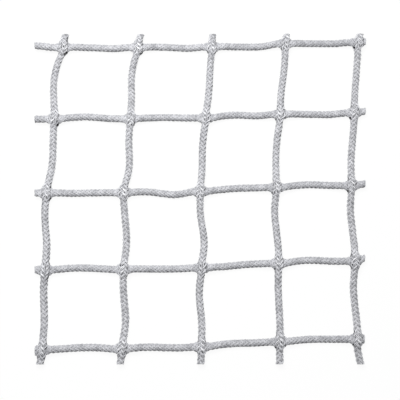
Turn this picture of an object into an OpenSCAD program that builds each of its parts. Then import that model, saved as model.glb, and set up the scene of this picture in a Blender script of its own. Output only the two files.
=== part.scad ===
// Climbing net: knotless square mesh of braided cord, lying flat.
// Each upright cord opens into two halves at every crossing, and the cross cord runs between them.
// The origin is under the middle crossing, on the surface that the net lies on.
// X runs along the cross cords, Y towards the top edge and Z up.

/* [Net] */
// Size of a mesh, from crossing to crossing
mesh = 101.6; // [80:0.1:160]
// Lean of the uprights to the right as the net lies, in degrees from square
lean = 4; // [0:0.5:10]
// Most that the uprights swing to either side of square, in degrees
skew_limit = 30; // [15:1:35]

/* [Cord] */
// Diameter of the braided cord
cord_d = 9.5; // [7:0.1:13]

/* [Crossing] */
// Thickness of a cross cord where an upright grips it
grip_t = 7.4; // [5:0.1:10]
// Width of a cross cord where an upright grips it
grip_w = 11.8; // [9:0.1:15]
// Thickness of each opened half of an upright
half_t = 3.8; // [2.5:0.1:6]
// Width of each opened half of an upright
half_w = 12.4; // [9:0.1:16]
// Clearance between a cross cord and the halves round it
clearance = 0.3; // [0.2:0.05:0.6]

/* [Cut edges] */
// Cord past the crossing at the upper end of the left edge
left_upper = 38; // [9:0.5:60]
// Cord past the crossing at the lower end of the left edge
left_lower = 9; // [9:0.5:60]
// Cord past the crossing at the upper end of the right edge
right_upper = 11; // [9:0.5:60]
// Cord past the crossing at the lower end of the right edge
right_lower = 9; // [9:0.5:60]
// Cord past the crossing at the left end of the top edge
top_left = 18; // [9:0.5:60]
// Cord past the crossing at the right end of the top edge
top_right = 11.5; // [9:0.5:60]
// Cord past the crossing at the left end of the bottom edge
bottom_left = 18; // [9:0.5:60]
// Cord past the crossing at the right end of the bottom edge
bottom_right = 32; // [9:0.5:60]

/* [Hidden] */
// Cords each way, with the middle one through the origin
count = 5;
middle = (count - 1) / 2;
cord_colour = "gainsboro";

// How far the crossings stray from a true grid as the net lies: sideways along every upright, from the top,
// and up or down along every cross cord, from the left
upright_stray = [8.5, 3.5, 0, 5, 8.5];
cross_stray = [3, 1, 0, 3, 3];

// How far each cord sways: at its first cut end, at a third and two thirds of its four legs and at its last cut
// end. An upright runs from the top and sways to the right, and a cross cord runs from the left and sways up.
upright_sway = [
    [1, -7, -5.5, 1.5, 3, -1.5, 1, -0.5, 1, -2],
    [2.5, -4.5, -2, 1, 4, 2, 3.5, 1, 3.5, -1.5],
    [1.5, 0.5, 1.5, -1.5, 0, 0.5, 4, -2.5, 0, 0],
    [2.5, 1.5, 0, -2, -2, -2.5, -0.5, -0.5, 0.5, 0.5],
    [4, 1, 0.5, 0, -1, -2, -0.5, -2.5, -1, 4]
];
cross_sway = [
    [3, 0.5, -0.5, 1, -0.5, -0.5, -2, 0.5, 0, 1],
    [0, 3.5, 2, 2, 1.5, 3, 0.5, 0, -1, 2],
    [2, 0, 0.5, 0.5, -3, 2, 1.5, 3, 2, 3],
    [2, 2.5, 2, 0, -0.5, 0.5, 1, 3, 1.5, 3],
    [-2, 1.5, 2, 1, -0.5, 1.5, 0.5, 1.5, 1, 0]
];

// Section of the cord: a circle with a flat underneath, a tenth of the cord's diameter deep
cord_r = cord_d / 2;
rest_z = cord_r - cord_d / 10;
flat_angle = asin(rest_z / cord_r);
ring_angle = 45;
over_angles = [for (m = [0:180 / ring_angle]) m * ring_angle];
under_angles = [180, 180 + flat_angle / 2, 180 + flat_angle, 360 - flat_angle, 360 - flat_angle / 2, 360];

// Opening in an upright: as high as the gripped cross cord and long enough for it to swing to its limit
open_h = grip_t / 2 + clearance;
swing_w = half_w / 2 * tan(skew_limit);
swing_l = grip_w / 2 / cos(skew_limit);
open_in = swing_w + swing_l * tan(ring_angle / 2) + clearance;
open_out = swing_w + swing_l / sin(ring_angle) + 2 * clearance;
open_mid = (open_in + open_out) / 2;
crossing_z = half_t * rest_z / cord_r + open_h;

// Half of the cross cord's straight stretch, gripped flat wherever the halves can swing over it
grip_reach = half_w / 2 / cos(skew_limit) + grip_w / 2 * tan(skew_limit) + clearance;
round_reach = grip_reach + cord_r;

// Length over which a leg comes down to the surface, and the rings between two crossings
settle = 2.5 * cord_d;
leg_rings = 5;
// A long cut end is a true round that starts on a slightly narrower stub
stub_l = 1;
stub_share = 0.9;
round_sides = 48;

// Rings round a crossing, as distances from it
upright_around = [-open_out, -open_mid, -open_in, open_in, open_mid, open_out];
cross_around = [-round_reach, -grip_reach, grip_reach, round_reach];

function mix(a, b, t) = a + (b - a) * t;
function clip(t) = max(0, min(1, t));
function last_of(list) = list[len(list) - 1];
function ease(t) = let (u = clip(t)) u * u * (3 - 2 * u);
function turn(p, angle) = [p.x * cos(angle) - p.y * sin(angle), p.x * sin(angle) + p.y * cos(angle)];

// Place of a crossing along its cord, and the distance of a place from the nearest crossing
function station(k) = (k - middle) * mesh;
function from_crossing(s) = abs(s - station(max(0, min(count - 1, round(s / mesh + middle)))));

// Cord left past the outermost crossing, where a straight cut runs from length a to length b over the cords
function cut_length(a, b, k, strays, sign) =
    let (t = k / (count - 1))
    mix(a, b, t) + sign * (strays[k] - mix(strays[0], strays[count - 1], t));
function upright_ends(i) = [
    cut_length(top_left, top_right, i, cross_stray, -1),
    cut_length(bottom_left, bottom_right, i, cross_stray, 1)
];
function cross_ends(j) = [
    cut_length(left_upper, left_lower, j, upright_stray, 1),
    cut_length(right_upper, right_lower, j, upright_stray, -1)
];
// A cut end with a cord's width or more of free length is round, and its swept part stops at the stub
function is_round(length, reach) = length - reach >= cord_d;
function swept_end(length, reach) = is_round(length, reach) ? reach + stub_l : length;

// Sideways place of a cord: straight through the middle of each crossing, and swaying between them as a bow and
// a wave. At a third of the leg both stand at sin(60) of their height, so together they pass through its sways.
function leg_offset(s, strays, sways, straight) =
    let (
        k = max(0, min(count - 2, floor(s / mesh + middle))),
        t = clip((s - station(k) - straight) / (mesh - 2 * straight)),
        third = sways[2 * k + 1],
        two_thirds = sways[2 * k + 2],
        bow = (third + two_thirds) / 2 / sin(60),
        wave = (third - two_thirds) / 2 / sin(60)
    )
    mix(strays[k], strays[k + 1], t) + bow * sin(180 * t) + wave * sin(360 * t);
// A round cut end leans straight from the reach of its crossing. A shorter one curves from the crossing,
// and leans less, the less of it there is past a cord's width.
function end_offset(past, length, sway, reach) =
    is_round(length, reach) ? sway * max(0, past - reach) / (length - reach) :
    sway * clip((length - cord_d) / reach) * pow(past / length, 2);
function offset_at(s, strays, sways, straight, reach, ends) =
    s < station(0) ? strays[0] + end_offset(station(0) - s, ends[0], sways[0], reach) :
    s > station(count - 1) ?
        strays[count - 1] + end_offset(s - station(count - 1), ends[1], last_of(sways), reach) :
    leg_offset(s, strays, sways, straight);

// Height of a cord's middle: level through a crossing and along the cut ends, and on the surface elsewhere
function height_at(s, reach) =
    abs(s) > station(count - 1) ? crossing_z :
    mix(crossing_z, rest_z, ease((from_crossing(s) - reach) / settle));

// Share of the opening in an upright, and of the grip on a cross cord, at a place along it
function opening_at(s) = sin(90 * clip((open_out - from_crossing(s)) / (open_out - open_in)));
function grip_at(s) = clip((round_reach - from_crossing(s)) / cord_r);

// Places of a cord's rings, from its first cut end to its last
function sorted(list) =
    len(list) < 2 ? list :
    let (pivot = list[0], rest = [for (k = [1:len(list) - 1]) list[k]])
    concat(
        sorted([for (v = rest) if (v < pivot) v]),
        [pivot],
        sorted([for (v = rest) if (v >= pivot) v])
    );
function ring_places(around, ends) =
    let (
        first = station(0) - ends[0],
        last = station(count - 1) + ends[1],
        start = last_of(around),
        step = (mesh - 2 * start) / (leg_rings + 1),
        crossings = [for (k = [0:count - 1]) for (d = around) station(k) + d],
        legs = [for (k = [0:count - 2]) for (n = [1:leg_rings]) station(k) + start + n * step]
    )
    sorted(concat(
        [first, last],
        [for (s = concat(crossings, legs)) if (s > first + clearance && s < last - clearance) s]
    ));

// One ring of a cord: the upper half from right to left, then the lower half back again, lifted apart
function ring(s, y, z, half_width, half_height, lift) = concat(
    [for (a = over_angles) [s, y + half_width * cos(a), z + lift + half_height * sin(a)]],
    [for (a = under_angles) [s, y + half_width * cos(a), z - lift + half_height * sin(a)]]
);
// A ring at the very end of a stub is narrower, so that it lies inside the round end
function narrowing(s, ends, full_ends) =
    (s <= station(0) - ends[0] && ends[0] < full_ends[0]) ||
    (s >= station(count - 1) + ends[1] && ends[1] < full_ends[1]) ? stub_share : 1;

// A cord swept through its rings. Closed rings share their side points between the two halves, and open rings
// don't, so that each opening is bounded by the flat faces of the halves.
module swept_cord(rings, opens) {
    over = len(over_angles);
    size = over + len(under_angles);
    last = len(rings) - 1;
    function id(k, m) = k * size + (opens[k] ? m : m == over ? over - 1 : m == size - 1 ? 0 : m);
    function quad(k, m, n) = [
        [id(k, m), id(k + 1, n), id(k, n)],
        [id(k, m), id(k + 1, m), id(k + 1, n)]
    ];
    function fan(k, list) = [
        for (n = [1:len(list) - 2]) [id(k, list[0]), id(k, list[n]), id(k, list[n + 1])]
    ];
    function flipped(faces) = [for (f = faces) [f[0], f[2], f[1]]];
    upper = [for (m = [0:over - 1]) m];
    lower = [for (m = [over:size - 1]) m];
    whole = concat(upper, [for (m = [over + 1:size - 2]) m]);
    function cap(k) = opens[k] ? concat(fan(k, upper), fan(k, lower)) : fan(k, whole);
    walls = [for (k = [0:last - 1]) for (m = [0:size - 2]) if (m != over - 1) each quad(k, m, m + 1)];
    slits = [
        for (k = [0:last - 1]) if (opens[k] || opens[k + 1])
            each concat(quad(k, over - 1, 0), quad(k, size - 1, over))
    ];
    polyhedron(
        points = [for (r = rings) each r],
        faces = concat(walls, slits, cap(0), flipped(cap(last)))
    );
}

// The true round end of a long cut end, from the stub to the cut
module round_end(side, length, sway, strays, reach) {
    if (is_round(length, reach)) {
        from = side * (station(count - 1) + reach);
        stray = side < 0 ? strays[0] : strays[count - 1];
        run = length - reach;
        angle = atan2(sway, side * run);
        start = stub_l / 2;
        translate([from, stray, crossing_z])
            rotate([0, 0, angle])
                translate([start, 0, 0])
                    rotate([0, 90, 0])
                        cylinder(h = norm([run, sway]) - start, r = cord_r, $fn = round_sides);
    }
}

module upright_cord(i) {
    full_ends = upright_ends(i);
    ends = [for (e = full_ends) swept_end(e, open_out)];
    sways = upright_sway[i];
    places = ring_places(upright_around, ends);
    rings = [
        for (s = places)
            let (o = opening_at(s), n = narrowing(s, ends, full_ends))
            ring(
                s, offset_at(s, upright_stray, sways, open_in, open_out, full_ends),
                height_at(s, open_out), n * mix(cord_r, half_w / 2, o), n * mix(cord_r, half_t, o), open_h * o
            )
    ];
    opens = [for (s = places) from_crossing(s) < open_out - clearance];
    color(cord_colour)
        translate([station(i), cross_stray[i], 0])
            rotate([0, 0, -90 - lean])
                union() {
                    swept_cord(rings, opens);
                    round_end(-1, full_ends[0], sways[0], upright_stray, open_out);
                    round_end(1, full_ends[1], last_of(sways), upright_stray, open_out);
                }
}

module cross_cord(j) {
    full_ends = cross_ends(j);
    ends = [for (e = full_ends) swept_end(e, round_reach)];
    sways = cross_sway[j];
    places = ring_places(cross_around, ends);
    rings = [
        for (s = places)
            let (g = grip_at(s), n = narrowing(s, ends, full_ends))
            ring(
                s, offset_at(s, cross_stray, sways, grip_reach, round_reach, full_ends),
                height_at(s, grip_reach), n * mix(cord_r, grip_w / 2, g), n * mix(cord_r, grip_t / 2, g), 0
            )
    ];
    opens = [for (s = places) false];
    color(cord_colour)
        translate(turn([upright_stray[j], -station(j)], -lean))
            union() {
                swept_cord(rings, opens);
                round_end(-1, full_ends[0], sways[0], cross_stray, round_reach);
                round_end(1, full_ends[1], last_of(sways), cross_stray, round_reach);
            }
}

for (i = [0:count - 1])
    upright_cord(i);
for (j = [0:count - 1])
    cross_cord(j);
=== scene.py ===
"""Looks of a knotless climbing net of braided cord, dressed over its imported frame.

Five upright cords and five cross cords meet in square meshes. Every cord is a braid of twelve strands, six
winding each way, and every strand is three yarns laid side by side. At a crossing the braid of the upright
opens into an upper and a lower half, and the cross cord runs between them.
"""

import logging
import math
from abc import ABC, abstractmethod
from dataclasses import dataclass
from enum import Enum

import bmesh
import bpy
import numpy as np
from mathutils import Matrix, Vector


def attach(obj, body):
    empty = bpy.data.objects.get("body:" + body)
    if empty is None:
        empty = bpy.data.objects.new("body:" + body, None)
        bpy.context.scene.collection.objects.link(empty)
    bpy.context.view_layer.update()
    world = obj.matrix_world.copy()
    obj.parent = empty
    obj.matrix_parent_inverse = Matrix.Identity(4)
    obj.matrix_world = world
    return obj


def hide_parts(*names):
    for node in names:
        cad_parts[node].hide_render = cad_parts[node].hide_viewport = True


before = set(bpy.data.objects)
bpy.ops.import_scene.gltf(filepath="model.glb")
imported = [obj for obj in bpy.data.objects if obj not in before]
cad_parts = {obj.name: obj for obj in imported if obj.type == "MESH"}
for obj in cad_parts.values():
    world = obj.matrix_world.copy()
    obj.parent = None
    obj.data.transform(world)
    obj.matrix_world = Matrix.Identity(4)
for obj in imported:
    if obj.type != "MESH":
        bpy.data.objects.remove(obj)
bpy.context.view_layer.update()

LOG = logging.getLogger("climbing_net")
DEPTH = "depth"
OPAQUE = 1.0
WHITE = (1.0, 1.0, 1.0, OPAQUE)

Values = np.ndarray | float
Pair = tuple[float, float]
Triple = tuple[float, float, float]


def mix(start: Values, end: Values, share: Values) -> Values:
    """Value that lies a share of the way from start to end."""
    return start + (end - start) * share


def ease(share: Values) -> Values:
    """Share held between 0 and 1, with a slow start and a slow end."""
    held = np.clip(share, 0.0, 1.0)
    return held * held * (3.0 - 2.0 * held)


class Way(Enum):
    """Way that a strand winds round its cord, seen along the cord."""

    RIGHT = 1.0
    LEFT = -1.0

    @classmethod
    def signs(cls) -> list[float]:
        """Signs of both ways."""
        return [way.value for way in cls]


@dataclass(frozen=True)
class NetSizes:
    """Driving sizes of the net, the same as its solids have, in metres and radians.

    Attributes:
        mesh: Size of a mesh, from crossing to crossing.
        lean: Lean of the uprights to the right, from square.
        skew_limit: Most that the uprights swing to either side of square.
        cord_d: Diameter of the cord.
        grip_t: Thickness of a cross cord where an upright grips it.
        grip_w: Width of a cross cord where an upright grips it.
        half_t: Thickness of each opened half of an upright.
        half_w: Width of each opened half of an upright.
        clearance: Gap between a cross cord and the halves round it.
        count: Cords each way.
        ring_angle: Angle between two corners of a solid's section.
        flat_share: Depth of the flat underneath a cord, as a share of its diameter.
        settle_share: Length over which a cord comes down to the ground, as a share of its diameter.
    """

    mesh: float = 0.1016
    lean: float = math.radians(4.0)
    skew_limit: float = math.radians(30.0)
    cord_d: float = 0.0095
    grip_t: float = 0.0074
    grip_w: float = 0.0118
    half_t: float = 0.0038
    half_w: float = 0.0124
    clearance: float = 0.0003
    count: int = 5
    ring_angle: float = math.radians(45.0)
    flat_share: float = 0.1
    settle_share: float = 2.5

    @property
    def middle(self) -> float:
        """Number of the middle cord, from 0."""
        return (self.count - 1) / 2

    @property
    def cord_r(self) -> float:
        """Radius of the cord."""
        return self.cord_d / 2

    @property
    def rest_z(self) -> float:
        """Height of a cord's middle where it lies on the ground, flattened a little."""
        return self.cord_r - self.flat_share * self.cord_d

    @property
    def open_h(self) -> float:
        """Height that each half of an upright is lifted off its middle at a crossing."""
        return self.grip_t / 2 + self.clearance

    @property
    def crossing_z(self) -> float:
        """Height of both cords' middles at a crossing."""
        return self.half_t * self.rest_z / self.cord_r + self.open_h

    @property
    def half_swing(self) -> float:
        """Length that the width of an upright's half takes up along it at the skew limit."""
        return self.half_w / 2 * math.tan(self.skew_limit)

    @property
    def grip_span(self) -> float:
        """Half of a gripped cord's width, measured along an upright at the skew limit."""
        return self.grip_w / 2 / math.cos(self.skew_limit)

    @property
    def open_in(self) -> float:
        """Distance from a crossing at which an upright's halves start to close."""
        return self.half_swing + self.grip_span * math.tan(self.ring_angle / 2) + self.clearance

    @property
    def open_out(self) -> float:
        """Distance from a crossing at which an upright's halves have closed."""
        return self.half_swing + self.grip_span / math.sin(self.ring_angle) + 2 * self.clearance

    @property
    def grip_reach(self) -> float:
        """Distance from a crossing to which a cross cord is gripped flat."""
        swing = self.grip_w / 2 * math.tan(self.skew_limit)
        return self.half_w / 2 / math.cos(self.skew_limit) + swing + self.clearance

    @property
    def round_reach(self) -> float:
        """Distance from a crossing at which a cross cord is round again."""
        return self.grip_reach + self.cord_r

    @property
    def settle(self) -> float:
        """Length over which a cord comes down to the ground."""
        return self.settle_share * self.cord_d

    def station(self, number: Values) -> Values:
        """Place of a crossing along its cord, from the middle one."""
        return (number - self.middle) * self.mesh


@dataclass(frozen=True)
class NetLie:
    """How the cut net lies on the ground: its cut edges, and how far its cords stray from a true grid.

    An edge has the lengths of its first and of its last cut end. Strays and sways run from the top along an
    upright, to the right, and from the left along a cross cord, upwards. A row of sways has the first cut
    end, a third and two thirds of each of the four legs, and the other cut end. These are the routes of the
    solids. A pair of bends says how much further the loose braid of a short cut end leans than its solid
    does, at the first and at the other cut.
    """

    left: Pair = (0.038, 0.009)
    right: Pair = (0.011, 0.009)
    top: Pair = (0.018, 0.0115)
    bottom: Pair = (0.018, 0.032)
    upright_stray: tuple[float, ...] = (0.0085, 0.0035, 0.0, 0.005, 0.0085)
    cross_stray: tuple[float, ...] = (0.003, 0.001, 0.0, 0.003, 0.003)
    upright_sway: tuple[tuple[float, ...], ...] = (
        (0.001, -0.007, -0.0055, 0.0015, 0.003, -0.0015, 0.001, -0.0005, 0.001, -0.002),
        (0.0025, -0.0045, -0.002, 0.001, 0.004, 0.002, 0.0035, 0.001, 0.0035, -0.0015),
        (0.0015, 0.0005, 0.0015, -0.0015, 0.0, 0.0005, 0.004, -0.0025, 0.0, 0.0),
        (0.0025, 0.0015, 0.0, -0.002, -0.002, -0.0025, -0.0005, -0.0005, 0.0005, 0.0005),
        (0.004, 0.001, 0.0005, 0.0, -0.001, -0.002, -0.0005, -0.0025, -0.001, 0.004),
    )
    cross_sway: tuple[tuple[float, ...], ...] = (
        (0.003, 0.0005, -0.0005, 0.001, -0.0005, -0.0005, -0.002, 0.0005, 0.0, 0.001),
        (0.0, 0.0035, 0.002, 0.002, 0.0015, 0.003, 0.0005, 0.0, -0.001, 0.002),
        (0.002, 0.0, 0.0005, 0.0005, -0.003, 0.002, 0.0015, 0.003, 0.002, 0.003),
        (0.002, 0.0025, 0.002, 0.0, -0.0005, 0.0005, 0.001, 0.003, 0.0015, 0.003),
        (-0.002, 0.0015, 0.002, 0.001, -0.0005, 0.0015, 0.0005, 0.0015, 0.001, 0.0),
    )
    upright_bends: tuple[Pair, ...] = (
        (0.0018, -0.0002),
        (0.002, -0.0004),
        (0.0001, 0.0),
        (0.0018, 0.0),
        (0.0024, 0.0),
    )
    cross_bends: tuple[Pair, ...] = (
        (0.0, 0.0009),
        (0.0, 0.0012),
        (0.0, 0.0001),
        (0.0006, 0.0029),
        (-0.0008, 0.0),
    )


@dataclass(frozen=True)
class CordRoute:
    """Line that one cord follows, in the cord's own frame: along it, aside and up.

    The cord is straight through the middle of each crossing. Between two crossings it runs from one's stray
    to the next one's, as a bow and a wave that pass through the leg's two sways, and comes down to the
    ground.

    Attributes:
        sizes: Sizes of the net.
        strays: Distances aside of the crossings.
        sways: Sways of the first cut end, of the legs' thirds and of the other cut end.
        ends: Lengths of the two cut ends.
        bends: Further leans of the two cut ends.
        straight: Distance from a crossing to which the cord is straight.
        end_reach: Distance from a crossing at which the cord has its plain section again.
        level_reach: Distance from a crossing at which the cord starts to come down.
        origin: Place of the cord's own frame in the net.
        heading: Direction of the cord in the net, from x towards y.
    """

    sizes: NetSizes
    strays: tuple[float, ...]
    sways: tuple[float, ...]
    ends: Pair
    bends: Pair
    straight: float
    end_reach: float
    level_reach: float
    origin: Pair
    heading: float

    @property
    def outer(self) -> float:
        """Distance of the outermost crossings from the middle one."""
        return self.sizes.station(self.sizes.count - 1)

    def places(self, step: float, fine: float) -> np.ndarray:
        """Places along the cord, from cut end to cut end.

        Args:
            step: Distance between two places of a leg, or a little less.
            fine: The same close to a crossing, where the cord changes its section.

        Returns:
            Distances from the middle crossing.
        """
        first = -self.outer - self.ends[0]
        last = self.outer + self.ends[1]
        even = np.linspace(first, last, math.ceil((last - first) / fine) + 1)
        rate = np.where(self.from_crossing(even) < self.end_reach, 1.0, fine / step)
        passed = np.concatenate([[0.0], np.cumsum(rate[1:])])
        return np.interp(np.linspace(0.0, passed[-1], math.ceil(passed[-1]) + 1), passed, even)

    def tip(self, end: int) -> np.ndarray:
        """Middle of a cut end, in the net's frame: the first for 0 and the last for 1."""
        along = np.array((-self.outer - self.ends[0], self.outer + self.ends[1])[end])
        return self.in_net(along, self.aside(along), self.height(along))

    def past_crossing(self, along: np.ndarray) -> np.ndarray:
        """Distance past the nearest crossing.

        Args:
            along: Places along the cord.

        Returns:
            A distance for each place, below 0 before the crossing.
        """
        sizes = self.sizes
        nearest = np.round(along / sizes.mesh + sizes.middle)
        return along - sizes.station(np.clip(nearest, 0, sizes.count - 1))

    def from_crossing(self, along: np.ndarray) -> np.ndarray:
        """Distance of each place from the crossing nearest to it."""
        return np.abs(self.past_crossing(along))

    def end_sway(self, past: np.ndarray, length: float, sway: float, bend: float) -> np.ndarray:
        """Lean of a cut end.

        Args:
            past: Distances past the outermost crossing.
            length: Length of the cut end.
            sway: Distance aside at the cut, for an end that is long enough to lean freely.
            bend: Further distance aside at the cut of a short end.

        Returns:
            Distances aside.
        """
        free = length - self.end_reach
        if free >= self.sizes.cord_d:
            return sway * np.maximum(0.0, past - self.end_reach) / free
        held = min(1.0, max(0.0, (length - self.sizes.cord_d) / self.end_reach))
        return (sway * held + bend) * (past / length) ** 2

    def aside(self, along: np.ndarray) -> np.ndarray:
        """Sideways place of the cord's middle.

        Args:
            along: Places along the cord.

        Returns:
            A distance aside for each place.
        """
        sizes = self.sizes
        strays = np.array(self.strays)
        sways = np.array(self.sways)
        leg = np.clip(np.floor(along / sizes.mesh + sizes.middle), 0, sizes.count - 2).astype(int)
        span = sizes.mesh - 2 * self.straight
        share = np.clip((along - sizes.station(leg) - self.straight) / span, 0.0, 1.0)
        third, two_thirds = sways[2 * leg + 1], sways[2 * leg + 2]
        sine_of_third = math.sin(math.pi / 3)
        bow = (third + two_thirds) / 2 / sine_of_third
        wave = (third - two_thirds) / 2 / sine_of_third
        sway = bow * np.sin(math.pi * share) + wave * np.sin(2 * math.pi * share)
        legs = mix(strays[leg], strays[leg + 1], share) + sway
        first = strays[0] + self.end_sway(-self.outer - along, self.ends[0], sways[0], self.bends[0])
        last = strays[-1] + self.end_sway(along - self.outer, self.ends[1], sways[-1], self.bends[1])
        return np.select([along < -self.outer, along > self.outer], [first, last], legs)

    def height(self, along: np.ndarray) -> np.ndarray:
        """Height of the cord's middle.

        Args:
            along: Places along the cord.

        Returns:
            A height for each place. The cut ends stay as high as their crossings.
        """
        sizes = self.sizes
        down = ease((self.from_crossing(along) - self.level_reach) / sizes.settle)
        legs = mix(sizes.crossing_z, sizes.rest_z, down)
        return np.where(np.abs(along) > self.outer, sizes.crossing_z, legs)

    def in_cord(self, points: np.ndarray) -> tuple[np.ndarray, np.ndarray, np.ndarray]:
        """Points of the net as points of the cord's own frame.

        Args:
            points: Array whose last axis is x, y and z.

        Returns:
            Distances along the cord, distances aside and heights.
        """
        cos, sin = math.cos(self.heading), math.sin(self.heading)
        x = points[..., 0] - self.origin[0]
        y = points[..., 1] - self.origin[1]
        return x * cos + y * sin, y * cos - x * sin, points[..., 2]

    def in_net(self, along: np.ndarray, aside: np.ndarray, up: np.ndarray) -> np.ndarray:
        """Points of the cord's own frame as points of the net.

        Args:
            along: Distances along the cord.
            aside: Distances aside.
            up: Heights.

        Returns:
            Array whose last axis is x, y and z.
        """
        cos, sin = math.cos(self.heading), math.sin(self.heading)
        x = self.origin[0] + along * cos - aside * sin
        y = self.origin[1] + along * sin + aside * cos
        return np.stack([x, y, up], axis=-1)


@dataclass(frozen=True)
class Braid:
    """Make-up of an upright: strands that wind both ways, slack and full, round a core of thick yarns.

    Attributes:
        stitches: Stitches along a mesh.
        strands: Strands that wind each way.
        passes: Strands that a strand passes over, and then under.
        yarns: Yarns side by side in a strand.
        yarn_r: Radius of a yarn.
        yarn_pitch: Distance between two yarns of a strand.
        yarn_resolution: Fineness of a yarn's round section.
        crown: Height of a strand's middle yarn over its outer ones.
        weave: Distance that a strand rises over, or falls under, its middle ring.
        uneven: Most that a stretch of strand lies deeper because it is drawn tighter.
        uneven_length: Length of such a stretch.
        fullness: Distance that the highest yarns stand out past the cord's own radius.
        step: Distance between two points of a yarn.
        fine_step: The same at a crossing.
        core_yarns: Core yarns, as many in each half of the cord.
        core_r: Radius of a core yarn.
        core_ring_r: Radius of the ring that the core yarns lie on.
        core_spread: Share by which that ring is wider where the cord is opened.
        core_rise: Share of its radius by which a core yarn is lifted further there.
        core_step: Distance between two points of a core yarn.
        tuft: Most that a yarn is cut short of the others.
    """

    stitches: float = 17.5
    strands: int = 6
    passes: int = 2
    yarns: int = 3
    yarn_r: float = 0.00062
    yarn_pitch: float = 0.00086
    yarn_resolution: int = 1
    crown: float = 0.00050
    weave: float = 0.00075
    uneven: float = 0.0005
    uneven_length: float = 0.007
    fullness: float = 0.00058
    step: float = 0.0015
    fine_step: float = 0.0011
    core_yarns: int = 6
    core_r: float = 0.0012
    core_ring_r: float = 0.0013
    core_spread: float = 1.2
    core_rise: float = 0.5
    core_step: float = 0.006
    tuft: float = 0.0004

    @property
    def strand_angle(self) -> float:
        """Angle round the cord between two strands that wind the same way."""
        return 2 * math.pi / self.strands

    def lay(self, mesh: float) -> float:
        """Length in which a strand winds once round the cord, from the stitches along a mesh."""
        return self.strands * mesh / self.stitches

    def top_r(self, cord_r: float) -> float:
        """Radius of the highest yarns' middles."""
        return cord_r + self.fullness - self.yarn_r

    def ring_r(self, cord_r: float) -> float:
        """Radius on which the strands wind, halfway between over and under."""
        return self.top_r(cord_r) - self.weave - self.crown

    def yarn_angle(self, sizes: NetSizes) -> float:
        """Angle round the cord between two yarns of a strand.

        Args:
            sizes: Sizes of the net.

        Returns:
            The angle, which allows for the slope of the strand.
        """
        ring_r = self.ring_r(sizes.cord_r)
        slope = math.atan(2 * math.pi * ring_r / self.lay(sizes.mesh))
        return self.yarn_pitch / (ring_r * math.cos(slope))


@dataclass(frozen=True)
class TightBraid(Braid):
    """Make-up of a cross cord: drawn tighter than an upright, so its stitches are finer and flatter."""

    stitches: float = 18.0
    crown: float = 0.0003
    weave: float = 0.00034
    uneven: float = 0.0004


@dataclass(frozen=True)
class Section:
    """Shape of a cord's section at each place along it, against the round cord.

    Attributes:
        right: Width of its right half, as a share of the round cord's.
        left: Width of its left half, as a share of the round cord's.
        thick: Thickness of the cord or of an opened half, as a share of the round cord's.
        lift: Height that each half is lifted off the middle.
        opened: Share of the opening, from 0 to 1.
    """

    right: np.ndarray
    left: np.ndarray
    thick: np.ndarray
    lift: np.ndarray
    opened: np.ndarray


@dataclass(frozen=True)
class Corners:
    """Hollow corners that the strands on one side of a cord make with the cord that crosses it.

    Attributes:
        before: Reach of the corner before the crossing.
        after: Reach of the corner after it.
        depth_share: Depth of a corner, as a share of its reach.
        hollow: Power of the hollow curve in which a corner falls off.
        rise: Power of the curve in which the width rises from the middle of the crossing.
    """

    before: float
    after: float
    depth_share: float = 0.5
    hollow: int = 2
    rise: int = 3

    def spread(self, past: np.ndarray, edge: float, middle: float) -> np.ndarray:
        """Extra half width of the cord on this side.

        Args:
            past: Distances past the crossing.
            edge: Half of the other cord's width, where the corners are deepest.
            middle: Extra half width in the middle of the crossing.

        Returns:
            Half widths, which fall off in a hollow curve over each corner's reach.
        """
        away = np.abs(past)
        reach = np.where(past > 0, self.after, self.before)
        depth = self.depth_share * reach
        outside = depth * np.clip(1.0 - (away - edge) / reach, 0.0, 1.0) ** self.hollow
        inside = mix(middle, depth, np.clip(away / edge, 0.0, 1.0) ** self.rise)
        return np.where(away < edge, inside, outside)


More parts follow.
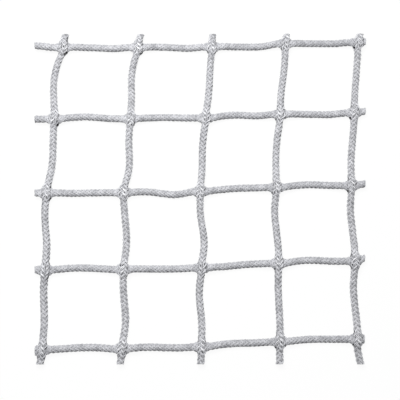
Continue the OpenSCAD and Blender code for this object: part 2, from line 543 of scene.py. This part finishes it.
@dataclass(frozen=True)
class CordFinish:
    """Pale grey multifilament yarn of the uprights, with fine filaments and a soft sheen.

    Yarns that stand proud are painted paler as a painted highlight, and painted shade lies deep between the
    strands.

    Attributes:
        name: Name of the material.
        pale: Colour of the yarns.
        worn: Colour of their worn patches.
        crevice_shade: Painted shade deep between the strands.
        crevice_shade_from: Depth under the outside of the braid at which that painted shade starts.
        crevice_shade_to: Depth at which it is full.
        proud_highlight: Painted highlight on the yarns that stand proud.
        proud_highlight_from: Depth at which that painted highlight starts.
        proud_highlight_to: Depth at which it is full, below 0 as such a yarn stands out of the braid.
        roughness: Roughness of the yarns.
        sheen: Weight of their sheen.
        sheen_roughness: Roughness of the sheen.
        specular: Level of their plain reflection.
        patch_scale: Scale of the worn patches.
        worn_below: Level of the pattern up to which a yarn is worn.
        pale_above: Level of the pattern from which it is pale.
        filaments: Scale of the filaments on the two axes of the yarns' UV map.
        filament_depth: Height of the filaments.
        filament_bump: Strength of their relief.
    """

    name: str = "slack_yarn"
    pale: Triple = (0.755, 0.76, 0.792)
    worn: Triple = (0.47, 0.475, 0.50)
    # Painted shade, laid deep between the strands by depth.
    crevice_shade: Triple = (0.07, 0.072, 0.08)
    crevice_shade_from: float = 0.0005
    crevice_shade_to: float = 0.0031
    # Painted highlight, laid on the yarns that stand proud by depth.
    proud_highlight: Triple = (0.91, 0.915, 0.94)
    proud_highlight_from: float = 0.0001
    proud_highlight_to: float = -0.0009
    roughness: float = 0.36
    sheen: float = 0.08
    sheen_roughness: float = 0.4
    specular: float = 0.55
    patch_scale: float = 140.0
    worn_below: float = 0.12
    pale_above: float = 0.34
    filaments: Pair = (60.0, 30.0)
    filament_depth: float = 0.00012
    filament_bump: float = 0.9

    def filament_pattern(self, tree: bpy.types.NodeTree) -> bpy.types.NodeSocket:
        """Pattern of the filaments, on the yarns' UV map.

        Args:
            tree: Nodes of the material.

        Returns:
            Socket of the pattern's level.
        """
        place = tree.nodes.new("ShaderNodeTexCoord")
        stretch = tree.nodes.new("ShaderNodeMapping")
        stretch.inputs["Scale"].default_value = (*self.filaments, 1.0)
        noise = tree.nodes.new("ShaderNodeTexNoise")
        noise.inputs["Scale"].default_value = 1.0
        tree.links.new(place.outputs["UV"], stretch.inputs["Vector"])
        tree.links.new(stretch.outputs["Vector"], noise.inputs["Vector"])
        return noise.outputs["Fac"]

    def worn_colour(
        self, tree: bpy.types.NodeTree, filament: bpy.types.NodeSocket
    ) -> bpy.types.NodeSocket:
        """Colour of the yarns, worn in patches and along filaments.

        Args:
            tree: Nodes of the material.
            filament: Socket of the filaments' level.

        Returns:
            Socket of the colour.
        """
        place = tree.nodes.new("ShaderNodeTexCoord")
        patch = tree.nodes.new("ShaderNodeTexNoise")
        patch.inputs["Scale"].default_value = self.patch_scale
        tree.links.new(place.outputs["Object"], patch.inputs["Vector"])
        both = tree.nodes.new("ShaderNodeMath")
        both.operation = "MULTIPLY"
        tree.links.new(filament, both.inputs[0])
        tree.links.new(patch.outputs["Fac"], both.inputs[1])
        wear = tree.nodes.new("ShaderNodeValToRGB")
        stops = ((self.worn_below, self.worn), (self.pale_above, self.pale))
        for element, (position, colour) in zip(wear.color_ramp.elements, stops):
            element.position = position
            element.color = (*colour, OPAQUE)
        tree.links.new(both.outputs["Value"], wear.inputs["Fac"])
        return wear.outputs["Color"]

    def coloured_by_depth(
        self,
        tree: bpy.types.NodeTree,
        under: bpy.types.NodeSocket,
        colour: Triple,
        start: float,
        full: float,
    ) -> bpy.types.NodeSocket:
        """Lays a colour over another, by the depth under the outside of the braid.

        Args:
            tree: Nodes of the material.
            under: Socket of the other colour.
            colour: The colour that is laid over it.
            start: Depth at which it starts.
            full: Depth at which it is full.

        Returns:
            Socket of the resulting colour.
        """
        depth = tree.nodes.new("ShaderNodeAttribute")
        depth.attribute_name = DEPTH
        share = tree.nodes.new("ShaderNodeMapRange")
        share.interpolation_type = "SMOOTHSTEP"
        share.inputs["From Min"].default_value = start
        share.inputs["From Max"].default_value = full
        tree.links.new(depth.outputs["Fac"], share.inputs["Value"])
        laid = tree.nodes.new("ShaderNodeMixRGB")
        laid.inputs["Color2"].default_value = (*colour, OPAQUE)
        tree.links.new(share.outputs["Result"], laid.inputs["Fac"])
        tree.links.new(under, laid.inputs["Color1"])
        return laid.outputs["Color"]

    def material(self) -> bpy.types.Material:
        """Material of the yarns.

        Returns:
            Node material that reads the yarns' UV map for the filaments, Object coordinates for worn patches
            and the depth attribute for a painted highlight on proud yarns and painted shade in the crevices.
        """
        made = bpy.data.materials.new(self.name)
        made.use_nodes = True
        tree = made.node_tree
        shader = tree.nodes["Principled BSDF"]
        shader.inputs["Roughness"].default_value = self.roughness
        shader.inputs["Sheen Weight"].default_value = self.sheen
        shader.inputs["Sheen Roughness"].default_value = self.sheen_roughness
        shader.inputs["Specular IOR Level"].default_value = self.specular
        filament = self.filament_pattern(tree)
        worn = self.worn_colour(tree, filament)
        # Painted highlight on the proud yarns.
        proud_highlight = self.coloured_by_depth(tree, worn, self.proud_highlight, self.proud_highlight_from, self.proud_highlight_to)
        # Painted shade deep between the strands.
        painted_shade = self.coloured_by_depth(tree, proud_highlight, self.crevice_shade, self.crevice_shade_from, self.crevice_shade_to)
        tree.links.new(painted_shade, shader.inputs["Base Color"])
        bump = tree.nodes.new("ShaderNodeBump")
        bump.inputs["Strength"].default_value = self.filament_bump
        bump.inputs["Distance"].default_value = self.filament_depth
        tree.links.new(filament, bump.inputs["Height"])
        tree.links.new(bump.outputs["Normal"], shader.inputs["Normal"])
        return made


@dataclass(frozen=True)
class ShadedCordFinish(CordFinish):
    """Yarn of the cross cords: the uprights' yarn, painted a little greyer as painted shade for how the
    light falls on them.
    """

    name: str = "tight_yarn_shaded"
    # Darker than the uprights' yarn, as painted shade.
    pale: Triple = (0.65, 0.655, 0.685)
    worn: Triple = (0.40, 0.405, 0.43)


@dataclass
class BraidedCord(ABC):
    """One braided cord of the net, as one mesh of its yarns.

    Attributes:
        name: Name of the piece.
        node: Solid that it replaces, and the body that it rides on.
        route: Line that the cord follows.
        braid: Make-up of the cord.
        start_turn: Turn of the strands at the middle crossing.
        seed: Seed of the cord's random draws.
        cuts: Slants of its first and of its last cut.
        sharp_angle: Angle from which an edge of a yarn stays sharp.
        calm: How fast the weave calms at the edges of the halves as the cord opens.
        easings: Further easings of the yarns where the cord is opened.
        relief: Share by which the weave is deeper there.
        bunch: Share by which the yarns of a strand are drawn together there.
        stagger: Share of a stitch by which the lower half is shifted there.
        unruly: Share by which the strands are more uneven there.
    """

    name: str
    node: str
    route: CordRoute
    braid: Braid
    start_turn: float
    seed: int
    cuts: Pair
    sharp_angle: float = math.radians(65.0)
    calm: float = 2.0
    easings: int = 2
    relief: float = 0.0
    bunch: float = 0.0
    stagger: float = 0.0
    unruly: float = 0.0

    @abstractmethod
    def section(self, along: np.ndarray) -> Section:
        """Section of this kind of cord at each place along it."""

    def twist(self, along: np.ndarray) -> np.ndarray:
        """Slow turn of the whole braid.

        It holds still at the crossings. At every other crossing it is half of the angle between two strands,
        one way or the other, so that a strand turns back in every corner and falls in with the others.

        Args:
            along: Places along the cord.

        Returns:
            An angle for each place.
        """
        sizes = self.route.sizes
        ways = np.random.default_rng(self.seed).choice(Way.signs(), sizes.count)
        steps = ways * (np.arange(sizes.count) % 2) * self.braid.strand_angle / 2
        hold = np.array([-1.0, 1.0]) * (sizes.open_out + sizes.cord_r)
        stations = sizes.station(np.arange(sizes.count))
        return np.interp(along, np.add.outer(stations, hold).ravel(), np.repeat(steps, len(hold)))

    def wind(
        self, along: np.ndarray, twist: np.ndarray, opened: np.ndarray
    ) -> tuple[np.ndarray, np.ndarray, np.ndarray]:
        """Winds the yarns round the cord. Where it is opened, they turn back at the edges of each half.

        Args:
            along: Places along the cord.
            twist: Turn of the whole braid at each place.
            opened: Share of the opening at each place.

        Returns:
            Turn of the strands at each place, and the angle and the way of each yarn at each place.
        """
        braid = self.braid
        sizes = self.route.sizes
        turned = self.start_turn + 2 * math.pi * along / braid.lay(sizes.mesh)
        apart = (np.arange(braid.yarns) - (braid.yarns - 1) / 2) * braid.yarn_angle(sizes)
        lanes = (np.arange(braid.strands)[:, None] * braid.strand_angle + apart).ravel()
        way = np.repeat(Way.signs(), len(lanes))
        angle = np.tile(lanes, len(Way)) + way * turned[0] + twist[0]
        angles, ways = [angle], [way]
        for row in range(1, len(along)):
            half = np.floor(angle / math.pi)
            angle = angle + way * (turned[row] - turned[row - 1]) + twist[row] - twist[row - 1]
            if opened[row] > 0:
                edge = math.pi * np.where(way > 0, half + 1, half)
                back = np.floor(angle / math.pi) != half
                angle = np.where(back, 2 * edge - angle, angle)
                way = np.where(back, -way, way)
            angles.append(angle)
            ways.append(way)
        return turned, self.bunched(np.array(angles), opened), np.array(ways)

    def bunched(self, angles: np.ndarray, opened: np.ndarray) -> np.ndarray:
        """Draws the yarns of each strand together where the cord is opened.

        Args:
            angles: Angle of each yarn at each place.
            opened: Share of the opening at each place.

        Returns:
            The angles, drawn towards those of the strands' middle yarns in the same half of the cord.
        """
        strands = angles.reshape(len(opened), -1, self.braid.yarns)
        middles = strands[..., self.braid.yarns // 2, None]
        together = np.floor(strands / math.pi) == np.floor(middles / math.pi)
        drawn = mix(strands, middles, self.bunch * opened[:, None, None])
        return np.where(together, drawn, strands).reshape(angles.shape)

    def weave(self, turned: np.ndarray, angles: np.ndarray, ways: np.ndarray) -> np.ndarray:
        """How far each yarn is over or under the strands that wind the other way.

        Args:
            turned: Turn of the strands at each place.
            angles: Angle of each yarn at each place, less the twist of the braid.
            ways: Way of each yarn at each place.

        Returns:
            Array of the same shape as the angles, from 1 for over to -1 for under.
        """
        pitch = self.braid.strand_angle
        passes = self.braid.passes
        turns = ways * turned[:, None]
        lane = np.round((angles - turns) / pitch)
        passed = 2 * turns / pitch + 2 * lane
        return ways * np.cos(math.pi / passes * (passed - (passes - 1) / 2))

    def slackness(self, along: np.ndarray, opened: np.ndarray) -> np.ndarray:
        """How deep each yarn lies under its even place, because some stretches are drawn tighter.

        Args:
            along: Places along the cord.
            opened: Share of the opening at each place.

        Returns:
            A depth for each yarn at each place, below 0 where a yarn of an opened cord stands proud.
        """
        braid = self.braid
        spots = np.arange(along[0], along[-1] + braid.uneven_length, braid.uneven_length)
        draws = np.random.default_rng(self.seed).uniform(-1.0, 1.0, (braid.strands * len(Way), len(spots)))
        strands = np.array([np.interp(along, spots, draw) for draw in draws])
        yarns = np.repeat(strands, braid.yarns, axis=0).T
        return braid.uneven / 2 * (1.0 + yarns * (1.0 + self.unruly * opened[:, None]))

    def radii(self, along: np.ndarray, opened: np.ndarray, over: np.ndarray) -> np.ndarray:
        """Radius at which each yarn lies in the round cord.

        Args:
            along: Places along the cord.
            opened: Share of the opening at each place.
            over: How far each yarn is over or under at each place.

        Returns:
            Array of the same shape as over.
        """
        braid = self.braid
        rank = np.abs(np.linspace(-1.0, 1.0, braid.yarns))
        crown = np.tile(braid.crown * (1.0 - rank**2), braid.strands * len(Way))
        even = braid.top_r(self.route.sizes.cord_r) - braid.crown + crown + braid.weave * (over - 1.0)
        return even - self.slackness(along, opened)

    def slanted(self, along: np.ndarray, across: np.ndarray) -> np.ndarray:
        """Places along the cord, slanted towards its cut ends as the cuts are.

        Args:
            along: Places along the cord.
            across: Distances of the same places from the cord's middle.

        Returns:
            The slanted places.
        """
        reach = self.route.sizes.cord_d
        first = ease((reach + along.min() - along) / reach)
        last = ease((reach + along - along.max()) / reach)
        return along + across * (self.cuts[0] * first + self.cuts[1] * last)

    def eased(self, lines: np.ndarray, opened: np.ndarray) -> np.ndarray:
        """Eases the bends of the yarns, once all along the cord and then where it is opened.

        Args:
            lines: Point of each yarn at each place.
            opened: Share of the opening at each place.

        Returns:
            The points, each moved every time by up to half of the way to the middle of its neighbours.
        """
        soft = lines.copy()
        for share in (np.ones_like(opened), *[opened] * self.easings):
            between = (soft[:-2] + soft[2:]) / 2
            soft[1:-1] = mix(soft[1:-1], between, share[1:-1, None, None] / 2)
        return soft

    def cut_short(self, lines: np.ndarray) -> np.ndarray:
        """Cuts each yarn a little short of the others at both ends.

        Args:
            lines: Point of each yarn at each place.

        Returns:
            The points, with new first and last ones.
        """
        short = lines.copy()
        tufts = np.random.default_rng(self.seed).uniform(0.0, self.braid.tuft, (2, lines.shape[1], 1))
        for end, before, tuft in ((0, 1, tufts[0]), (-1, -2, tufts[1])):
            back = lines[before] - lines[end]
            short[end] += tuft * back / np.linalg.norm(back, axis=1, keepdims=True)
        return short

    def yarn_lines(self) -> list[np.ndarray]:
        """Lines of the yarns of the braid.

        Returns:
            Points of the net for each yarn, from cut end to cut end.
        """
        braid, route = self.braid, self.route
        along = route.places(braid.step, braid.fine_step)
        opened = self.section(along).opened
        twist = self.twist(along)
        turned, angles, ways = self.wind(along, twist, opened)
        over = self.weave(turned, angles - twist[:, None], ways) * (1.0 + self.relief * opened[:, None])
        calmed = np.minimum(1.0, self.calm * opened)[:, None]
        ring = self.radii(along, opened, over * mix(1.0, np.abs(np.sin(angles)), calmed))
        side = np.where(np.floor(angles / math.pi) % 2 == 0, 1.0, -1.0)
        stitch = route.sizes.mesh / braid.stitches
        along = along[:, None] + np.where(side < 0, self.stagger * stitch * opened[:, None], 0.0)
        section = self.section(along)
        across = ring * np.cos(angles) * np.where(np.cos(angles) > 0, section.right, section.left)
        up = route.height(along) + ring * np.sin(angles) * section.thick + side * section.lift
        up = np.maximum(up, braid.yarn_r)
        lines = route.in_net(self.slanted(along, across), route.aside(along) + across, up)
        lines = self.cut_short(self.eased(lines, opened))
        return [lines[:, yarn] for yarn in range(lines.shape[1])]

    def core_lines(self) -> list[np.ndarray]:
        """Lines of the core yarns, as many in each half of the cord.

        Returns:
            Points of the net for each core yarn, from cut end to cut end.
        """
        braid, route = self.braid, self.route
        along = route.places(braid.core_step, braid.core_step)
        section = self.section(along)
        lift = section.lift + section.opened * braid.core_rise * braid.core_r
        lines = []
        for number in range(braid.core_yarns):
            angle = (2 * number + 1) * math.pi / braid.core_yarns
            side = math.copysign(1.0, math.sin(angle))
            across = braid.core_ring_r * math.cos(angle) * (1.0 + braid.core_spread * section.opened)
            up = route.height(along) + braid.core_ring_r * math.sin(angle) * section.thick + side * lift
            up = np.maximum(up, braid.core_r)
            lines.append(route.in_net(self.slanted(along, across), route.aside(along) + across, up))
        return lines

    def depths(self, points: np.ndarray) -> np.ndarray:
        """Depth of points under the outside of the braid.

        Args:
            points: Points of the net, one on each row.

        Returns:
            One depth for each point.
        """
        route, braid = self.route, self.braid
        along, aside, up = route.in_cord(points)
        section = self.section(along)
        across = aside - route.aside(along)
        across = across / np.where(across > 0, section.right, section.left)
        above = up - route.height(along)
        above = np.maximum(np.abs(above) - section.lift, 0.0) / section.thick
        outside = braid.top_r(route.sizes.cord_r) + braid.yarn_r
        return outside - np.hypot(across, above)

    def yarn_mesh(self) -> bpy.types.Mesh:
        """Sweeps the yarns and the core yarns along their lines.

        Returns:
            Mesh of closed tubes, with a UV map along and round them.
        """
        curve = bpy.data.curves.new(self.name, "CURVE")
        curve.dimensions = "3D"
        curve.bevel_depth = self.braid.yarn_r
        curve.bevel_resolution = self.braid.yarn_resolution
        curve.use_fill_caps = True
        core_share = self.braid.core_r / self.braid.yarn_r
        for lines, share in ((self.yarn_lines(), 1.0), (self.core_lines(), core_share)):
            for line in lines:
                spline = curve.splines.new("POLY")
                spline.points.add(len(line) - 1)
                spline.points.foreach_set("co", np.column_stack([line, np.ones(len(line))]).ravel())
                spline.points.foreach_set("radius", np.full(len(line), share))
        route = bpy.data.objects.new(self.name + "_route", curve)
        bpy.context.scene.collection.objects.link(route)
        mesh = bpy.data.meshes.new_from_object(route.evaluated_get(bpy.context.evaluated_depsgraph_get()))
        bpy.data.objects.remove(route)
        bpy.data.curves.remove(curve)
        return mesh

    def build(self, finish: bpy.types.Material) -> bpy.types.Object:
        """Makes the cord's mesh, dresses it and sets it on its body.

        Args:
            finish: Material of the yarns.

        Returns:
            The cord's object.
        """
        mesh = self.yarn_mesh()
        mesh.name = self.name
        mesh.shade_smooth()
        mesh.set_sharp_from_angle(angle=self.sharp_angle)
        points = np.empty(3 * len(mesh.vertices))
        mesh.vertices.foreach_get("co", points)
        depth = mesh.attributes.new(DEPTH, "FLOAT", "POINT")
        depth.data.foreach_set("value", self.depths(points.reshape(-1, 3)))
        mesh.materials.clear()
        mesh.materials.append(finish)
        cord = bpy.data.objects.new(self.name, mesh)
        bpy.context.scene.collection.objects.link(cord)
        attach(cord, self.node)
        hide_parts(self.node)
        return cord


@dataclass
class UprightCord(BraidedCord):
    """Upright cord, whose braid opens into two flat halves at every crossing.

    Attributes:
        slack: Share by which the cord is wider, and thinner, than a round one.
        left_corners: Hollow corners on its left side.
        right_corners: Hollow corners on its right side.
        middle_spread: Extra half width in the middle of a crossing.
        opening: Length over which the braid opens.
        early: Distance by which the braid opens sooner than the solid.
        seat: Share of a yarn's radius by which the lowest yarns of a half are lifted further.
    """

    slack: float = 0.075
    left_corners: Corners = Corners(before=0.0050, after=0.0060)
    right_corners: Corners = Corners(before=0.0058, after=0.0062)
    middle_spread: float = 0.0012
    opening: float = 0.010
    early: float = 0.0012
    seat: float = 0.5
    relief: float = 2.1
    bunch: float = 0.6
    stagger: float = 0.5
    unruly: float = 2.5

    def section(self, along: np.ndarray) -> Section:
        """Section of the upright: a slack oval, and at a crossing each half is lifted, wider and thinner.

        Args:
            along: Places along the cord.

        Returns:
            The section at each place.
        """
        sizes, braid = self.route.sizes, self.braid
        past = self.route.past_crossing(along)
        opened = ease((sizes.open_out + self.early - np.abs(past)) / self.opening)
        top = braid.top_r(sizes.cord_r)
        left, right = (
            1.0 + self.slack + corners.spread(past, sizes.cord_r, self.middle_spread) / top
            for corners in (self.left_corners, self.right_corners)
        )
        lift = sizes.open_h + self.seat * braid.yarn_r
        thick = (sizes.open_h + sizes.half_t - braid.yarn_r - lift) / top
        return Section(right, left, mix(1.0 - self.slack, thick, opened), lift * opened, opened)


@dataclass
class CrossCord(BraidedCord):
    """Cross cord, gripped flat where it runs through the uprights.

    Attributes:
        upper_corners: Hollow corners on its upper side, as the net lies.
        lower_corners: Hollow corners on its lower side.
    """

    upper_corners: Corners = Corners(before=0.0038, after=0.0042)
    lower_corners: Corners = Corners(before=0.0048, after=0.0050)

    def section(self, along: np.ndarray) -> Section:
        """Section of the cross cord: at a crossing it is wider and thinner.

        Args:
            along: Places along the cord.

        Returns:
            The section at each place.
        """
        sizes, braid = self.route.sizes, self.braid
        past = self.route.past_crossing(along)
        gripped = ease((sizes.grip_reach - np.abs(past)) / sizes.cord_r)
        flat = ease((sizes.round_reach - np.abs(past)) / sizes.cord_r)
        top = braid.top_r(sizes.cord_r)
        wide = (sizes.grip_w / 2 - braid.yarn_r) / top
        thick = (sizes.grip_t / 2 - braid.yarn_r) / top
        upper, lower = (
            mix(1.0, wide, gripped) + corners.spread(past, sizes.half_w / 2, 0.0) / top
            for corners in (self.upper_corners, self.lower_corners)
        )
        none = np.zeros_like(along)
        return Section(upper, lower, mix(1.0, thick, flat), none, none)


@dataclass
class ClimbingNet:
    """The net: its uprights and cross cords, each on its own body.

    Attributes:
        sizes: Sizes of the net.
        lie: How the net lies.
        upright_braid: Make-up of the uprights.
        cross_braid: Make-up of the cross cords.
        upright_finish: Finish of the uprights.
        cross_finish: Finish of the cross cords, the uprights' yarn darkened as painted shade.
        upright_turn: Turn of the strands from one upright to the next.
        cross_turn: Turn of the strands from one cross cord to the next.
    """

    sizes: NetSizes = NetSizes()
    lie: NetLie = NetLie()
    upright_braid: Braid = Braid()
    cross_braid: Braid = TightBraid()
    upright_finish: CordFinish = CordFinish()
    cross_finish: CordFinish = ShadedCordFinish()
    upright_turn: float = 0.0
    cross_turn: float = 0.7

    def cut_length(self, edge: Pair, number: int, strays: tuple[float, ...], sign: int) -> float:
        """Length of a cord past its outermost crossing, where a straight cut runs along the edge.

        Args:
            edge: Lengths at the two ends of the edge.
            number: Number of the cord along the edge, from 0.
            strays: Strays of the crossings along the edge.
            sign: 1 where a stray lengthens the cut end, and -1 where it shortens it.

        Returns:
            The length.
        """
        share = number / (self.sizes.count - 1)
        return mix(*edge, share) + sign * (strays[number] - mix(strays[0], strays[-1], share))

    def upright_route(self, number: int) -> CordRoute:
        """Route of an upright.

        Args:
            number: Its number, from 0 at the left.

        Returns:
            The route, from the top.
        """
        sizes, lie = self.sizes, self.lie
        return CordRoute(
            sizes=sizes,
            strays=lie.upright_stray,
            sways=lie.upright_sway[number],
            ends=(
                self.cut_length(lie.top, number, lie.cross_stray, -1),
                self.cut_length(lie.bottom, number, lie.cross_stray, 1),
            ),
            bends=lie.upright_bends[number],
            straight=sizes.open_in,
            end_reach=sizes.open_out,
            level_reach=sizes.open_out,
            origin=(sizes.station(number), lie.cross_stray[number]),
            heading=-math.pi / 2 - sizes.lean,
        )

    def cross_route(self, number: int) -> CordRoute:
        """Route of a cross cord.

        Args:
            number: Its number, from 0 at the top.

        Returns:
            The route, from the left.
        """
        sizes, lie = self.sizes, self.lie
        start = Matrix.Rotation(-sizes.lean, 2) @ Vector((lie.upright_stray[number], -sizes.station(number)))
        return CordRoute(
            sizes=sizes,
            strays=lie.cross_stray,
            sways=lie.cross_sway[number],
            ends=(
                self.cut_length(lie.left, number, lie.upright_stray, 1),
                self.cut_length(lie.right, number, lie.upright_stray, -1),
            ),
            bends=lie.cross_bends[number],
            straight=sizes.grip_reach,
            end_reach=sizes.round_reach,
            level_reach=sizes.grip_reach,
            origin=tuple(start),
            heading=0.0,
        )

    def cut_slants(self, routes: list[CordRoute]) -> Pair:
        """Slants of the straight cuts in which cords of one direction end.

        Args:
            routes: Routes of those cords, in order.

        Returns:
            Distance along the cords for each distance aside, at their first and at their last cut ends.
        """
        slants = []
        for end in (0, 1):
            tips = np.array([routes[0].tip(end), routes[-1].tip(end)])
            along, aside, _ = routes[0].in_cord(tips)
            slants.append(float(np.diff(along)[0] / np.diff(aside)[0]))
        return slants[0], slants[1]

    def cords(self) -> list[BraidedCord]:
        """Lays out the cords of the net.

        Returns:
            The cords, uprights first.
        """
        kinds = (
            ("upright_cord", UprightCord, self.upright_route, self.upright_braid, self.upright_turn),
            ("cross_cord", CrossCord, self.cross_route, self.cross_braid, self.cross_turn),
        )
        cords = []
        for kind, make, route_of, braid, turn in kinds:
            routes = [route_of(number) for number in range(self.sizes.count)]
            cuts = self.cut_slants(routes)
            for number, route in enumerate(routes, start=1):
                node = f"{kind}_{number}"
                cord = make(
                    name=f"{node}_braid",
                    node=node,
                    route=route,
                    braid=braid,
                    start_turn=turn * number,
                    seed=len(cords),
                    cuts=cuts,
                )
                cords.append(cord)
        return cords

    def build(self) -> list[bpy.types.Object]:
        """Builds every cord of the net.

        Returns:
            The cords' objects, uprights first.
        """
        finishes = {UprightCord: self.upright_finish.material(), CrossCord: self.cross_finish.material()}
        return [cord.build(finishes[type(cord)]) for cord in self.cords()]


@dataclass(frozen=True)
class PhotoCamera:
    """Camera at the photograph's view: high over the net and turned on its own axis.

    Attributes:
        target: Point that it looks at.
        distance: Distance from that point.
        elevation: Angle over the ground.
        azimuth: Direction of its look along the ground, from y towards x.
        roll: Turn on its own axis.
        focal_px: Focal length, in pixels of the photograph.
        frame_px: Width of the photograph, in pixels.
        sensor: Width of the sensor, in millimetres.
    """

    target: Triple = (-0.0008, -0.0112, 0.005)
    distance: float = 1.1
    elevation: float = math.radians(79.2)
    azimuth: float = math.radians(15.57)
    roll: float = math.radians(13.84)
    focal_px: float = 827.0
    frame_px: float = 400.0
    sensor: float = 36.0

    def build(self) -> bpy.types.Object:
        """Makes the camera and gives it to the scene.

        Returns:
            The camera's object.
        """
        look = Vector(
            (
                math.sin(self.azimuth) * math.cos(self.elevation),
                math.cos(self.azimuth) * math.cos(self.elevation),
                -math.sin(self.elevation),
            )
        )
        level = Vector((math.cos(self.azimuth), -math.sin(self.azimuth), 0.0))
        steep = level.cross(look)
        right = math.cos(self.roll) * level + math.sin(self.roll) * steep
        top = -math.sin(self.roll) * level + math.cos(self.roll) * steep
        data = bpy.data.cameras.new("photo_camera")
        data.sensor_fit = "HORIZONTAL"
        data.sensor_width = self.sensor
        data.lens = self.sensor * self.focal_px / self.frame_px
        camera = bpy.data.objects.new("photo_camera", data)
        turn = Matrix((right, top, -look)).transposed().to_4x4()
        camera.matrix_world = Matrix.Translation(Vector(self.target) - self.distance * look) @ turn
        bpy.context.scene.collection.objects.link(camera)
        bpy.context.scene.camera = camera
        return camera


@dataclass(frozen=True)
class Studio:
    """White floor and soft light from the top left.

    Attributes:
        floor_size: Width of the floor.
        floor_grey: Grey of the floor to bounced light.
        shadow_share: Share of the shadow that shows on the floor.
        key_from: Place of the key light.
        key_size: Diameter of the key light.
        key_power: Power of the key light.
        sky: Strength of the pale sky.
    """

    floor_size: float = 60.0
    floor_grey: float = 0.15
    shadow_share: float = 0.06
    key_from: Triple = (-0.2, 0.42, 1.1)
    key_size: float = 0.7
    key_power: float = 16.2
    sky: float = 0.21

    def floor(self) -> bpy.types.Object:
        """Floor that looks white to the camera but throws little light back under the cords.

        Returns:
            The floor's object.
        """
        mesh = bpy.data.meshes.new("floor")
        made = bmesh.new()
        bmesh.ops.create_grid(made, x_segments=1, y_segments=1, size=self.floor_size / 2)
        made.to_mesh(mesh)
        made.free()
        mesh.materials.append(self.floor_material())
        floor = bpy.data.objects.new("floor", mesh)
        bpy.context.scene.collection.objects.link(floor)
        return floor

    def floor_material(self) -> bpy.types.Material:
        """Material of the floor: white with a faint shadow in view, grey to bounced light.

        Returns:
            Node material that tells the two apart by the kind of ray.
        """
        made = bpy.data.materials.new("studio_floor")
        made.use_nodes = True
        nodes, links = made.node_tree.nodes, made.node_tree.links
        nodes.clear()
        path = nodes.new("ShaderNodeLightPath")
        in_view = path.outputs["Is Camera Ray"]
        for ray in ("Is Glossy Ray", "Is Transmission Ray"):
            either = nodes.new("ShaderNodeMath")
            either.operation = "MAXIMUM"
            links.new(in_view, either.inputs[0])
            links.new(path.outputs[ray], either.inputs[1])
            in_view = either.outputs["Value"]
        white = nodes.new("ShaderNodeEmission")
        shaded = nodes.new("ShaderNodeBsdfDiffuse")
        shaded.inputs["Color"].default_value = WHITE
        grey = nodes.new("ShaderNodeBsdfDiffuse")
        grey.inputs["Color"].default_value = (self.floor_grey, self.floor_grey, self.floor_grey, OPAQUE)
        seen = nodes.new("ShaderNodeMixShader")
        seen.inputs["Fac"].default_value = self.shadow_share
        links.new(white.outputs["Emission"], seen.inputs[1])
        links.new(shaded.outputs["BSDF"], seen.inputs[2])
        surface = nodes.new("ShaderNodeMixShader")
        links.new(in_view, surface.inputs["Fac"])
        links.new(grey.outputs["BSDF"], surface.inputs[1])
        links.new(seen.outputs["Shader"], surface.inputs[2])
        out = nodes.new("ShaderNodeOutputMaterial")
        links.new(surface.outputs["Shader"], out.inputs["Surface"])
        return made

    def lights(self) -> None:
        """Adds the key light and the pale sky."""
        data = bpy.data.lights.new("key", "AREA")
        data.shape = "DISK"
        data.size = self.key_size
        data.energy = self.key_power
        key = bpy.data.objects.new("key", data)
        key.location = self.key_from
        key.rotation_euler = (-Vector(self.key_from)).to_track_quat("-Z", "Y").to_euler()
        bpy.context.scene.collection.objects.link(key)
        world = bpy.data.worlds.new("studio_sky")
        world.use_nodes = True
        background = world.node_tree.nodes["Background"]
        background.inputs["Color"].default_value = WHITE
        background.inputs["Strength"].default_value = self.sky
        bpy.context.scene.world = world

    def build(self) -> None:
        """Sets up the floor, the light and the view transform."""
        self.floor()
        self.lights()
        bpy.context.scene.view_settings.view_transform = "Standard"


def main() -> None:
    """Builds the camera, the net and the studio, and reports each piece."""
    logging.basicConfig(level=logging.INFO, format="%(name)s: %(message)s")
    PhotoCamera().build()
    for piece in ClimbingNet().build():
        LOG.info("%s: %d faces", piece.name, len(piece.data.polygons))
    Studio().build()


if __name__ == "__main__":
    main()
